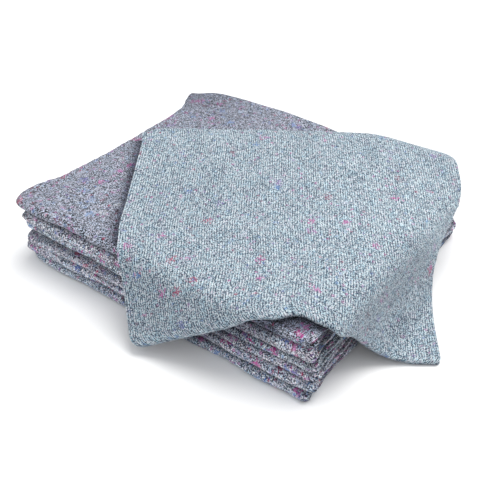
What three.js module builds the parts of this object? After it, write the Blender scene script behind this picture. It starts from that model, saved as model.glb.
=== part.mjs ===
// A stack of folded felt moving blankets with one more blanket laid askew on top
// and draped over its near, right and far edges.
// Millimetres, +Z up. +X runs along the folded edges of the stack and -Y faces them.
// The origin is on the floor, under the middle of everything.

import * as THREE from 'three';

// Felt and folds
const PLY = 3.4;
const PLY_GAP = 1.0;
const PLIES = 4;
const TIER_GAP = 1.4;
const SECTION_HEIGHT = PLIES * PLY + (PLIES - 1) * PLY_GAP;

// The stack's plan, before each blanket's own offset and turn
const STACK_LENGTH = 508;
const STACK_WIDTH = 445;

// From the middle of the stack's plan to the middle of everything
const PLAN_CENTRE = { x: 42.7, y: -4.5 };

// One row for each folded blanket, bottom to top. Heights are its thickness at the four
// corners of the stack, the radii round its plan corners, and endSkew shears its left end.
const TIERS = [
  { name: 'folded_blanket_1', color: 0x8d97a5, shiftX: 4, shiftY: -3, turn: -1.2, longer: 4, wider: 6,
    nearLeft: 14, nearRight: 15, farRight: 18, farLeft: 18,
    roundNearLeft: 19, roundNearRight: 6, roundFarRight: 11, roundFarLeft: 18, endSkew: 4 },
  { name: 'folded_blanket_2', color: 0x8c8a98, shiftX: 0, shiftY: -3, turn: -0.4, longer: 16, wider: 2,
    nearLeft: 20, nearRight: 17, farRight: 17, farLeft: 17,
    roundNearLeft: 8, roundNearRight: 8, roundFarRight: 8, roundFarLeft: 20, endSkew: -5 },
  { name: 'folded_blanket_3', color: 0x918896, shiftX: 0, shiftY: -2, turn: 0.5, longer: 8, wider: 2,
    nearLeft: 14, nearRight: 13, farRight: 17, farLeft: 17,
    roundNearLeft: 11, roundNearRight: 10, roundFarRight: 6, roundFarLeft: 14, endSkew: 6 },
  { name: 'folded_blanket_4', color: 0x868b99, shiftX: -1, shiftY: 2, turn: -0.6, longer: 18, wider: -2,
    nearLeft: 23, nearRight: 12, farRight: 18, farLeft: 17,
    roundNearLeft: 10, roundNearRight: 7, roundFarRight: 5, roundFarLeft: 22, endSkew: -3 },
  { name: 'folded_blanket_5', color: 0x948a9a, shiftX: -3.5, shiftY: -1, turn: 0.4, longer: 4, wider: 1,
    nearLeft: 18, nearRight: 27, farRight: 18, farLeft: 16,
    roundNearLeft: 10, roundNearRight: 8, roundFarRight: 6, roundFarLeft: 16, endSkew: 5 },
  { name: 'folded_blanket_6', color: 0x9794a3, shiftX: -3, shiftY: -1, turn: 0, longer: 2, wider: -1,
    nearLeft: 18, nearRight: 21, farRight: 18, farLeft: 18,
    roundNearLeft: 24, roundNearRight: 9, roundFarRight: 12, roundFarLeft: 5, endSkew: 26 },
];

// The top folded blanket's left corners stick out sideways, with a hollow edge between them.
// Its back is pulled in at the far left corner and bulges between its ends.
const TOP_OUTLINE = { nearReach: 14, nearRun: 95, farReach: 24, farRun: 48, hollow: 6,
  tuck: 15, tuckRun: 60, bulge: 15 };

// How far each ply's cut ends stop short, from the bottom ply to the top one
const PLY_ENDS = { left: [0, 2.5, 1, 2], right: [1.5, 0, 2.5, 4.5], run: 110 };

// The top folded blanket's cut ends are pressed down a little
const SLUMP = { depth: 3.6, run: 34 };

// Slow waves of the surfaces between the blankets
const WAVE = { height: 1.2, lengthX: 560, lengthY: 500, phase: 1.3 };

// Steps across a fold and along the blankets. Distances from the ends of a folded blanket,
// mirrored, and parts of the width that its plies run straight.
const FOLD_STEPS = { inner: 3, outer: 5, back: 3 };
const END_STATIONS = [0, 4, 13, 45, 125, 205];
const PLY_STATIONS = [0.15, 0.38, 0.62, 0.85];

// The draped blanket: two plies joined by a fold at its front edge. Its flat rectangle
// starts at its far left corner and is turned on the stack. Its back edge bows out between its
// corners, and its left edge is tucked in where it bends.
const DRAPE = { width: 510, depth: 430, cornerX: -223, cornerY: 18, turn: 32.2,
  frontSkew: 16, rightSkew: 5, ply: 3.6, gap: 1.4, lift: 3.3, frontLoft: 2.2, loftRun: 60, color: 0xa3b1bf };
const DRAPE_ROUNDS = { frontLeft: 22, frontRight: 8, backLeft: 4, backRight: 14 };
const BACK_BOW = { reach: 22, leftRun: 35, rightRun: 190, fade: 200 };
const LEFT_TUCK = { depth: 11, from: 190, to: 440 };
// Bells across the draped blanket that pull its front edge back and push it out
const FRONT_BOW = { from: 300, bells: [{ at: 200, half: 26, reach: -5 }, { at: 255, half: 24, reach: -13 },
  { at: 322, half: 28, reach: 13 }] };
const DRAPE_STEPS = { across: 28, along: 19, fold: 5 };
const DRAPE_THICK = 2 * DRAPE.ply + DRAPE.gap;
// How far the lower ply stops short of the upper one at the back
const LOWER_SHORT = 7;

// Where the draped blanket leaves the top of the stack, and how it bends there.
// A foot is the radius with which it flattens again on the floor.
const NEAR_EDGE = { at: -215, radius: 27, slope: 64, foot: 150, flare: 14 };
const RIGHT_EDGE = { at: 251.5, radius: 25, slope: 85, foot: 62 };
const FAR_EDGE = { at: 226, radius: 60, slope: 26 };

const DEGREE = Math.PI / 180;

// How far a round corner pulls an edge in, at a distance from the corner's other edge
function cornerInset(radius, distance) {
  const away = Math.max(radius - distance, 0);
  return radius - Math.sqrt(radius * radius - away * away);
}

function smooth(t) {
  const c = THREE.MathUtils.clamp(t, 0, 1);
  return c * c * (3 - 2 * c);
}

// Points on an arc of a section, each with the direction across the felt
function arc(centre, radius, from, to, steps) {
  const points = [];
  for (let i = 0; i <= steps; i++) {
    const angle = (from + (to - from) * i / steps) * DEGREE;
    const across = [Math.cos(angle), Math.sin(angle)];
    points.push({ s: centre[0] + radius * across[0], h: centre[1] + radius * across[1],
      ns: across[0], nh: across[1] });
  }
  return points;
}

// Height of the middle of a ply above the underside of its folded blanket
function plyHeight(ply) {
  return PLY / 2 + ply * (PLY + PLY_GAP);
}

// The felt folded in half twice: the third ply runs from its free edge to the front, turns down
// into the second, which turns at the back into the first, and that one turns up at the front
// round the others into the fourth. Across the felt points away from the middle of the folds.
function foldedSection(width, freeThird, freeFourth) {
  const middle = SECTION_HEIGHT / 2;
  const inner = (plyHeight(2) - plyHeight(1)) / 2;
  const outer = (plyHeight(3) - plyHeight(0)) / 2;
  const front = outer + PLY / 2;
  const back = width - inner - PLY / 2;
  const run = (ply, across, start, end) => {
    const stations = start < end ? PLY_STATIONS : PLY_STATIONS.map((t) => 1 - t);
    return stations.map((t) => ({ s: width * t, h: plyHeight(ply), ns: 0, nh: across }));
  };
  return [
    { s: width - freeThird, h: plyHeight(2), ns: 0, nh: 1 },
    ...run(2, 1, width, 0),
    ...arc([front, middle], inner, 90, 270, FOLD_STEPS.inner),
    ...run(1, -1, 0, width),
    ...arc([back, (plyHeight(0) + plyHeight(1)) / 2], inner, 90, -90, FOLD_STEPS.back)
      .map((p) => ({ ...p, ns: -p.ns, nh: -p.nh })),
    ...run(0, 1, width, 0),
    ...arc([front, middle], outer, 270, 90, FOLD_STEPS.outer)
      .map((p) => ({ ...p, ns: -p.ns, nh: -p.nh })),
    ...run(3, -1, 0, width),
    { s: width - freeFourth, h: plyHeight(3), ns: 0, nh: -1 },
  ];
}

// The stack's surfaces: level 0 is the floor and level n the top of folded blanket n
function levelHeight(level, x, y) {
  const u = THREE.MathUtils.clamp(x / STACK_LENGTH + 0.5, -0.05, 1.05);
  const v = THREE.MathUtils.clamp(y / STACK_WIDTH + 0.5, -0.05, 1.05);
  let height = 0;
  for (const tier of TIERS.slice(0, level)) {
    height += tier.nearLeft * (1 - u) * (1 - v) + tier.nearRight * u * (1 - v)
      + tier.farRight * u * v + tier.farLeft * (1 - u) * v;
  }
  const wave = Math.sin(x * 2 * Math.PI / WAVE.lengthX + level * WAVE.phase)
    * Math.cos(y * 2 * Math.PI / WAVE.lengthY - level * WAVE.phase);
  if (level === 0) return 0;
  const toEnd = STACK_LENGTH / 2 - Math.abs(x);
  const slump = level === TIERS.length ? SLUMP.depth * (1 - smooth(toEnd / SLUMP.run)) : 0;
  return height + WAVE.height * wave - slump;
}

// A value read between the plies of a list, at a height in the section
function betweenPlies(list, h) {
  const place = THREE.MathUtils.clamp((h - PLY / 2) / (PLY + PLY_GAP), 0, PLIES - 1);
  const low = Math.min(Math.floor(place), PLIES - 2);
  return THREE.MathUtils.lerp(list[low], list[low + 1], place - low);
}

// A point of a folded blanket, from its distance along the blanket and its section's s and h
function tierPoint(tier, level, along, s, h) {
  const length = STACK_LENGTH + tier.longer;
  const width = STACK_WIDTH + tier.wider;
  const frontInset = cornerInset(tier.roundNearLeft, along)
    + cornerInset(tier.roundNearRight, length - along);
  let backInset = cornerInset(tier.roundFarLeft, along)
    + cornerInset(tier.roundFarRight, length - along);
  const short = betweenPlies(PLY_ENDS.left, h) * (1 - smooth(along / PLY_ENDS.run))
    - betweenPlies(PLY_ENDS.right, h) * (1 - smooth((length - along) / PLY_ENDS.run));
  let endShift = tier.endSkew * (s / width - 0.3);
  if (level === TIERS.length - 1) {
    backInset += TOP_OUTLINE.tuck * (1 - smooth(along / TOP_OUTLINE.tuckRun))
      - TOP_OUTLINE.bulge * Math.sin(Math.PI * Math.min(along / (length * 0.7), 1));
    endShift -= TOP_OUTLINE.nearReach * (1 - smooth(s / TOP_OUTLINE.nearRun))
      + TOP_OUTLINE.farReach * (1 - smooth((width - s) / TOP_OUTLINE.farRun))
      - TOP_OUTLINE.hollow * Math.sin(Math.PI * THREE.MathUtils.clamp(s / width, 0, 1));
  }
  const localX = along - length / 2 + short + endShift * (1 - smooth(along / (length * 0.4)));
  const localY = -width / 2 + frontInset + s * (width - frontInset - backInset) / width;
  const turn = tier.turn * DEGREE;
  const x = tier.shiftX + localX * Math.cos(turn) - localY * Math.sin(turn);
  const y = tier.shiftY + localX * Math.sin(turn) + localY * Math.cos(turn);
  const low = levelHeight(level, x, y) + (level > 0 ? TIER_GAP : 0);
  const high = levelHeight(level + 1, x, y);
  return new THREE.Vector3(x, y, low + (high - low) * h / SECTION_HEIGHT);
}

// A bend down from the level: a round of the radius to the slope, a straight run, and where
// there is a foot, a round the other way that ends level at the drop. Gives the way out and down.
function bendDown(edge, distance, drop) {
  const slope = edge.slope * DEGREE;
  const turnRun = edge.radius * slope;
  const first = Math.min(distance, turnRun) / edge.radius;
  let out = edge.radius * Math.sin(first);
  let down = edge.radius * (1 - Math.cos(first));
  if (distance <= turnRun) return { out, down };
  const flare = (edge.flare ?? 0) * DEGREE;
  const endSlope = edge.flare ? slope - flare : 0;
  const footDrop = edge.foot ? edge.foot * (Math.cos(endSlope) - Math.cos(slope)) : 0;
  const straight = edge.foot ? (drop - down - footDrop) / Math.sin(slope) : Infinity;
  const run = Math.min(distance - turnRun, straight);
  out += run * Math.cos(slope);
  down += run * Math.sin(slope);
  const rest = distance - turnRun - run;
  if (rest <= 0) return { out, down };
  const footRun = Math.min(rest, edge.foot * (slope - endSlope));
  const now = slope - footRun / edge.foot;
  out += edge.foot * (Math.sin(slope) - Math.sin(now));
  down += edge.foot * (Math.cos(now) - Math.cos(slope));
  const last = rest - footRun;
  return { out: out + last * Math.cos(endSlope), down: down + last * Math.sin(endSlope) };
}

// The outer face of the draped blanket at a flat place: across from its left edge, along
// from its back edge
function drapeFace(across, along) {
  const turn = DRAPE.turn * DEGREE;
  const flatX = DRAPE.cornerX + across * Math.cos(turn) + along * Math.sin(turn);
  const flatY = DRAPE.cornerY + across * Math.sin(turn) - along * Math.cos(turn);
  const restX = THREE.MathUtils.clamp(flatX, -STACK_LENGTH / 2, RIGHT_EDGE.at);
  const restY = THREE.MathUtils.clamp(flatY, NEAR_EDGE.at, FAR_EDGE.at);
  const loft = DRAPE.frontLoft * smooth(1 - (DRAPE.depth - along) / DRAPE.loftRun);
  const top = levelHeight(TIERS.length, restX, restY) + DRAPE.lift + DRAPE_THICK + loft;
  const drop = top - DRAPE_THICK - loft;
  const near = bendDown(NEAR_EDGE, Math.max(NEAR_EDGE.at - flatY, 0), drop);
  const right = bendDown(RIGHT_EDGE, Math.max(flatX - RIGHT_EDGE.at, 0), drop);
  const far = bendDown(FAR_EDGE, Math.max(flatY - FAR_EDGE.at, 0), drop);
  return new THREE.Vector3(restX + Math.min(flatX - restX, 0) + right.out,
    restY - near.out + far.out, top - near.down - right.down - far.down);
}

// How far the draped blanket's front edge is pushed out, growing towards that edge
function frontBow(across, along) {
  const bell = (b) => b.reach * Math.exp(-(((across - b.at) / b.half) ** 2));
  const reach = FRONT_BOW.bells.reduce((sum, b) => sum + bell(b), 0);
  return reach * smooth((along - FRONT_BOW.from) / (DRAPE.depth - FRONT_BOW.from));
}

// A point of the draped blanket, h above its underside, square to its outer face. What
// reaches the floor lies flat on it.
function drapePoint(share, along, h) {
  const left = cornerInset(DRAPE_ROUNDS.frontLeft, DRAPE.depth - along)
    + cornerInset(DRAPE_ROUNDS.backLeft, along)
    + LEFT_TUCK.depth * Math.sin(Math.PI * THREE.MathUtils.clamp(
      (along - LEFT_TUCK.from) / (LEFT_TUCK.to - LEFT_TUCK.from), 0, 1)) ** 2;
  const right = cornerInset(DRAPE_ROUNDS.frontRight, DRAPE.depth - along)
    + cornerInset(DRAPE_ROUNDS.backRight, along)
    + DRAPE.rightSkew * (1 - along / DRAPE.depth);
  const across = left + share * (DRAPE.width - left - right);
  const bow = BACK_BOW.reach * smooth(across / BACK_BOW.leftRun)
    * smooth((DRAPE.width - across) / BACK_BOW.rightRun) * (1 - smooth(along / BACK_BOW.fade));
  const skewed = along * (1 + DRAPE.frontSkew / DRAPE.depth * (0.6 - across / DRAPE.width)) - bow
    + frontBow(across, along);
  const probe = 2;
  const face = drapeFace(across, skewed);
  const acrossWay = drapeFace(across + probe, skewed).sub(drapeFace(across - probe, skewed));
  const alongWay = drapeFace(across, skewed + probe).sub(drapeFace(across, skewed - probe));
  const normal = alongWay.cross(acrossWay).normalize();
  const point = face.addScaledVector(normal, h - DRAPE_THICK);
  point.z = Math.max(point.z, 0);
  return point;
}

// The draped blanket's section: the lower ply from the back to the front, the fold, and the
// upper ply back again. The fold is fuller than the rest by the front loft.
function drapeSection() {
  const { depth, ply, frontLoft, loftRun } = DRAPE;
  const lower = (s) => ply / 2 - frontLoft * smooth(1 - (depth - s) / loftRun);
  const upper = DRAPE_THICK - ply / 2;
  const radius = (upper - lower(depth)) / 2;
  const fold = depth - radius - ply / 2;
  const stations = Array.from({ length: DRAPE_STEPS.along },
    (_, i) => fold * (i + 1) / (DRAPE_STEPS.along + 1));
  return [
    { s: LOWER_SHORT, h: lower(LOWER_SHORT), ns: 0, nh: 1 },
    ...stations.map((s) => ({ s, h: lower(s), ns: 0, nh: 1 })),
    ...arc([fold, upper - radius], radius, -90, 90, DRAPE_STEPS.fold)
      .map((p) => ({ ...p, ns: -p.ns, nh: -p.nh })),
    ...stations.toReversed().map((s) => ({ s, h: upper, ns: 0, nh: -1 })),
    { s: 0, h: upper, ns: 0, nh: -1 },
  ];
}

// A closed solid of felt: the section's two sides at each station, joined from station to
// station, with its long edges and its two ends closed
function sweepFelt(section, stations, ply, place) {
  const positions = [];
  for (const station of stations) {
    for (const side of [1, -1]) {
      for (const p of section) {
        const point = place(station, p.s + side * p.ns * ply / 2, p.h + side * p.nh * ply / 2);
        positions.push(point.x, point.y, point.z);
      }
    }
  }
  const count = section.length;
  const at = (station, side, i) => (station * 2 + side) * count + i;
  const index = [];
  const quad = (a, b, c, d) => index.push(a, b, c, a, c, d);
  const last = stations.length - 1;
  for (let j = 0; j < last; j++) {
    for (let i = 0; i < count - 1; i++) {
      quad(at(j, 0, i), at(j, 0, i + 1), at(j + 1, 0, i + 1), at(j + 1, 0, i));
      quad(at(j, 1, i), at(j + 1, 1, i), at(j + 1, 1, i + 1), at(j, 1, i + 1));
    }
    quad(at(j, 0, 0), at(j + 1, 0, 0), at(j + 1, 1, 0), at(j, 1, 0));
    quad(at(j, 0, count - 1), at(j, 1, count - 1), at(j + 1, 1, count - 1), at(j + 1, 0, count - 1));
  }
  for (let i = 0; i < count - 1; i++) {
    quad(at(0, 0, i), at(0, 1, i), at(0, 1, i + 1), at(0, 0, i + 1));
    quad(at(last, 0, i), at(last, 0, i + 1), at(last, 1, i + 1), at(last, 1, i));
  }
  const geometry = new THREE.BufferGeometry();
  geometry.setAttribute('position', new THREE.Float32BufferAttribute(positions, 3));
  geometry.setIndex(index);
  geometry.computeVertexNormals();
  return geometry;
}

function feltMesh(name, color, geometry) {
  const material = new THREE.MeshStandardMaterial({ color, roughness: 1, metalness: 0 });
  const mesh = new THREE.Mesh(geometry, material);
  mesh.name = name;
  return mesh;
}

function foldedBlanket(tier, level) {
  const length = STACK_LENGTH + tier.longer;
  const mirrored = END_STATIONS.map((station) => length - station).reverse();
  const section = foldedSection(STACK_WIDTH + tier.wider, 2 + level % 3, 5 - level % 4);
  const place = (along, s, h) => tierPoint(tier, level, along, s, h);
  return feltMesh(tier.name, tier.color, sweepFelt(section, [...END_STATIONS, ...mirrored], PLY, place));
}

function drapedBlanket() {
  const shares = Array.from({ length: DRAPE_STEPS.across + 1 }, (_, i) => i / DRAPE_STEPS.across);
  return feltMesh('draped_blanket', DRAPE.color,
    sweepFelt(drapeSection(), shares, DRAPE.ply, drapePoint));
}

const stack = new THREE.Group();
TIERS.forEach((tier, level) => stack.add(foldedBlanket(tier, level)));
stack.add(drapedBlanket());
stack.position.set(-PLAN_CENTRE.x, -PLAN_CENTRE.y, 0);

export default stack;
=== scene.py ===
"""The looks of a stack of folded felt moving blankets with one more laid askew on top.

Each blanket is a strip of felt carried along the folds that its solid has. The shapes are
worked out with numpy as whole arrays, in millimetres in the stack's own plan, and go into the
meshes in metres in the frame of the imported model.
"""

import logging
import math
from dataclasses import dataclass
from enum import Enum
from typing import Any

import bpy
import numpy as np
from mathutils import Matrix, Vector

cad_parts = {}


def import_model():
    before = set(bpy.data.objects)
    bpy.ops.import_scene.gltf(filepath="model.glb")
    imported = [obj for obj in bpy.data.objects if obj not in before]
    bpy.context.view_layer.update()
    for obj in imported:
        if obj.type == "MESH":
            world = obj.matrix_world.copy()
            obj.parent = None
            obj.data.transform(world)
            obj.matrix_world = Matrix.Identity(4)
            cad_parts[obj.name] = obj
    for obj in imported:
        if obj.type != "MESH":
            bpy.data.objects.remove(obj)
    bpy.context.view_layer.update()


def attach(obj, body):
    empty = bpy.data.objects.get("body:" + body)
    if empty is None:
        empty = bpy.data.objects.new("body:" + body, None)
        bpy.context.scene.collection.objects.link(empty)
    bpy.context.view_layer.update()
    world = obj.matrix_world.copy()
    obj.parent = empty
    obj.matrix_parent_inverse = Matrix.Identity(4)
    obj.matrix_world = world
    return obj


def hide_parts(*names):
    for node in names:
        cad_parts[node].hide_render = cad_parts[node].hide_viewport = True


log = logging.getLogger("blankets")

MM = 0.001
CLOTH_MAP = "cloth"
# Each point's share of shade painted into its felt's colour, in a point attribute, and the greatest
# share.
CLOTH_SHADE = "painted_shade"
MOST_PAINTED_SHADE = 0.85

Array = np.ndarray
Pair = Ramp = tuple[float, float]
Triple = Colour = tuple[float, float, float]
Four = tuple[float, float, float, float]


# ---------------------------------------------------------------- soft shapes in numbers


def rise(x: Array, start: float, run: float) -> Array:
    """Rises from 0 at the start to 1 one run on, level at both ends: 3t^2 - 2t^3."""
    share = np.clip((x - start) / run, 0.0, 1.0)
    return share * share * (3.0 - 2.0 * share)


def fall(x: Array, start: float, run: float) -> Array:
    """Falls from 1 at the start to 0 one run on: 1 less the rise."""
    return 1.0 - rise(x, start, run)


def hill(x: Array, middle: float, half: float) -> Array:
    """A round hill, 1 in the middle and fading as a bell: exp(-((x - middle) / half)^2)."""
    return np.exp(-(((x - middle) / half) ** 2))


def corner_inset(radius: float, distance: Array) -> Array:
    """How far a round corner pulls in an edge, a distance along it: r - sqrt(r^2 - (r - d)^2)."""
    away = np.maximum(radius - distance, 0.0)
    return radius - np.sqrt(np.maximum(radius * radius - away * away, 0.0))


def turned(x: Array, y: Array, degrees: float) -> tuple[Array, Array]:
    """Places turned about the origin: x cos - y sin, and x sin + y cos."""
    c, s = math.cos(math.radians(degrees)), math.sin(math.radians(degrees))
    return x * c - y * s, x * s + y * c


@dataclass(frozen=True)
class Ripple:
    """A smooth uneven field, the same each time: seeded sine waves in all directions.

    Its waves are between one size and another, as shares of the field's own size.
    """

    seed: int
    size: float
    height: float
    waves: int = 14
    pitches: Pair = (0.55, 1.5)

    def at(self, x: Array, y: Array) -> Array:
        """The field's height at places: the mean wave of the seeded sines.

        Args:
            x: First coordinates, in millimetres.
            y: Second coordinates, which broadcast with the first.

        Returns:
            Heights of about -2 to 2 times the field's own height.
        """
        draw = np.random.default_rng(self.seed)
        angle = draw.uniform(0.0, 2.0 * np.pi, self.waves)
        pitch = 2.0 * np.pi / self.size * draw.uniform(*self.pitches, self.waves)
        phase = draw.uniform(0.0, 2.0 * np.pi, self.waves)
        total = np.zeros(np.broadcast(x, y).shape)
        for turn, wave, start in zip(angle, pitch, phase):
            total += np.sin(wave * (x * math.cos(turn) + y * math.sin(turn)) + start)
        return self.height * total * math.sqrt(2.0 / self.waves)


# ---------------------------------------------------------------- sections of folded felt


@dataclass(frozen=True)
class Section:
    """The middle line of a felt's section, with the way across the felt at each point.

    s runs from the front to the back, h up, and (out_s, out_h) points across the felt.
    """

    s: Array
    h: Array
    out_s: Array
    out_h: Array

    @staticmethod
    def level(s: Array, h: Array | float, out: float) -> "Section":
        """A level run of felt at the given s, whose way across is up (1) or down (-1)."""
        high = np.broadcast_to(np.asarray(h, float), s.shape).copy()
        return Section(s.astype(float), high, np.zeros(s.shape), np.full(s.shape, out))

    @staticmethod
    def turn(centre: Pair, radius: float, start: float, end: float,
             steps: int, inward: bool) -> "Section":
        """A fold's round: an arc about a centre.

        Args:
            centre: The arc's middle, s and h.
            radius: The radius of the felt's middle line.
            start: The first angle, in degrees from the way to the back.
            end: The last angle.
            steps: How many steps the arc has.
            inward: True if the way across the felt points at the centre.

        Returns:
            The arc.
        """
        angle = np.radians(np.linspace(start, end, steps + 1))
        c, s = np.cos(angle), np.sin(angle)
        sign = -1.0 if inward else 1.0
        return Section(centre[0] + radius * c, centre[1] + radius * s, sign * c, sign * s)

    @staticmethod
    def join(parts: list["Section"]) -> "Section":
        """The parts in order, as one section."""
        return Section(*(np.concatenate([getattr(p, name) for p in parts])
                         for name in ("s", "h", "out_s", "out_h")))

    def run(self) -> Array:
        """The distance along the felt at each point: the summed steps of the middle line."""
        steps = np.hypot(np.diff(self.s), np.diff(self.h))
        return np.concatenate([[0.0], np.cumsum(steps)])


# ---------------------------------------------------------------- meshes


def added(name: str, data: bpy.types.ID) -> bpy.types.Object:
    """A new object for a mesh, a light or a camera, in the scene."""
    made = bpy.data.objects.new(name, data)
    bpy.context.scene.collection.objects.link(made)
    return made


class FeltMesh:
    """A closed strip of felt: its two faces on a grid of stations, its cut edges and ends.

    The cut edges have one more row of points, pushed out a little, so that they are round.
    A corner of a face is three numbers: which point it is, and its flat place.
    """

    EDGE_PUFF = 0.45
    EDGE_ROUGH = (0.2, 1.6)
    LEAST_LENGTH = 1e-6
    LOWER_FACE_AT = 4000.0
    SHARP = math.radians(62.0)
    AHEAD = (0, 1, 2, 3)
    ABOUT = (0, 3, 2, 1)

    def __init__(self, upper: Array, lower: Array, across: Array,
                 run: Array, thick: float, seed: int) -> None:
        """Keeps the two faces.

        Args:
            upper: Points of the face that the way across leads to, stations by section by 3.
            lower: Points of the other face, the same shape.
            across: Flat distance of each station along the felt, in millimetres.
            run: Flat distance of each section point.
            thick: The felt's thickness.
            seed: Seed for the uneven cut edges.
        """
        self.upper, self.lower = upper, lower
        self.across, self.run, self.thick, self.seed = across, run, thick, seed
        self.shade = np.zeros(upper.shape[:2])

    def _edge_row(self, middle: Array, inner: Array) -> Array:
        """The row half way across a cut edge, pushed out unevenly.

        Args:
            middle: The felt's middle at the edge.
            inner: Its middle one row further in.

        Returns:
            The row's points.
        """
        away = middle - inner
        away /= np.maximum(np.linalg.norm(away, axis=-1, keepdims=True), self.LEAST_LENGTH)
        draw = np.random.default_rng(self.seed)
        rough = draw.uniform(*self.EDGE_ROUGH, middle.shape[:-1])[..., None]
        return middle + away * self.EDGE_PUFF * rough

    @staticmethod
    def _cells(grid: Array, order: tuple[int, ...]) -> Array:
        """The four corners of each of a grid's cells, in that order."""
        corners = (grid[:-1, :-1], grid[:-1, 1:], grid[1:, 1:], grid[1:, :-1])
        return np.stack([corners[i] for i in order], 2).reshape(-1, 4, 3)

    def build(self, name: str) -> bpy.types.Object:
        """Makes the mesh object: both faces, then each cut edge through its middle row.

        Args:
            name: The piece's name.

        Returns:
            The new object, at the origin, with its flat places in the cloth map, in metres.
        """
        m, n = self.upper.shape[:2]
        used = 2 * m * n
        up = np.stack([np.arange(m * n).reshape(m, n),
                       *np.broadcast_arrays(self.across[:, None], self.run)], -1)
        down = up + (m * n, self.LOWER_FACE_AT, 0.0)
        points = [self.upper.reshape(-1, 3), self.lower.reshape(-1, 3)]
        quads = [self._cells(up, self.AHEAD), self._cells(down, self.ABOUT)]
        middle = (self.upper + self.lower) / 2.0
        for cut, inside, way, order in (
                (np.s_[0], np.s_[1], (-1, 0), self.ABOUT),
                (np.s_[-1], np.s_[-2], (1, 0), self.AHEAD),
                (np.s_[:, 0], np.s_[:, 1], (0, -1), self.AHEAD),
                (np.s_[:, -1], np.s_[:, -2], (0, 1), self.ABOUT)):
            points.append(self._edge_row(middle[cut], middle[inside]))
            over = self.thick * np.array([0, *way])
            edge = np.stack([up[cut], up[cut] + over / 2, up[cut] + over])
            edge[1, :, 0] = used + np.arange(edge.shape[1])
            edge[2, :, 0] = down[cut][:, 0]
            quads.append(self._cells(edge, order))
            used += edge.shape[1]
        return self._object(name, np.concatenate(points), np.concatenate(quads))

    def _object(self, name: str, points: Array, quads: Array) -> bpy.types.Object:
        """Puts points and quads into a new object, smooth but for its cut edges.

        Args:
            name: The piece's name.
            points: The points, in millimetres.
            quads: The faces' corners, faces by 4 by 3.

        Returns:
            The object.
        """
        mesh = bpy.data.meshes.new(name)
        mesh.vertices.add(len(points))
        mesh.vertices.foreach_set("co", (points * MM).astype(np.float32).ravel())
        mesh.loops.add(4 * len(quads))
        mesh.loops.foreach_set("vertex_index", quads[..., 0].astype(np.int32).ravel())
        mesh.polygons.add(len(quads))
        mesh.polygons.foreach_set("loop_start", np.arange(0, 4 * len(quads), 4, dtype=np.int32))
        mesh.polygons.foreach_set("use_smooth", np.ones(len(quads), bool))
        layer = mesh.uv_layers.new(name=CLOTH_MAP)
        layer.uv.foreach_set("vector", (quads[..., 1:] * MM).astype(np.float32).ravel())
        # Each face point's share of painted shade; the cut edges' middle rows have none.
        shade = np.zeros(len(points))
        shade[:2 * self.shade.size] = np.tile(self.shade.ravel(), 2)
        layer = mesh.attributes.new(CLOTH_SHADE, "FLOAT", "POINT")
        layer.data.foreach_set("value", shade.astype(np.float32))
        mesh.update(calc_edges=True)
        mesh.validate()
        mesh.set_sharp_from_angle(angle=self.SHARP)
        return added(name, mesh)


# ---------------------------------------------------------------- shader nodes


class Signal:
    """A shader socket that takes part in sums. Each operator adds its Math node."""

    def __init__(self, kit: "NodeKit", socket: bpy.types.NodeSocket) -> None:
        self.kit, self.socket = kit, socket

    def _with(self, operation: str, *values: Any) -> "Signal":
        """A Math node over the values."""
        return self.kit.signal("ShaderNodeMath", {"operation": operation},
                               dict(enumerate(values)))

    def __add__(self, other: Any) -> "Signal":
        """Adds."""
        return self._with("ADD", self, other)

    __radd__ = __add__

    def __sub__(self, other: Any) -> "Signal":
        """Takes away."""
        return self._with("SUBTRACT", self, other)

    def __rsub__(self, other: Any) -> "Signal":
        """Is taken away from a number."""
        return self._with("SUBTRACT", other, self)

    def __mul__(self, other: Any) -> "Signal":
        """Multiplies."""
        return self._with("MULTIPLY", self, other)

    def cosine(self) -> "Signal":
        """The cosine, of radians."""
        return self._with("COSINE", self)

    def floor(self) -> "Signal":
        """The whole number below."""
        return self._with("FLOOR", self)

    def below(self, limit: Any) -> "Signal":
        """1 where this is less than the limit, else 0."""
        return self._with("LESS_THAN", self, limit)

    def between(self, low: float, high: float) -> "Signal":
        """Rises smoothly from 0 at low to 1 at high."""
        return self.kit.signal(
            "ShaderNodeMapRange", {"interpolation_type": "SMOOTHSTEP"},
            {"Value": self, "From Min": low, "From Max": high, "To Min": 0.0, "To Max": 1.0})


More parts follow.
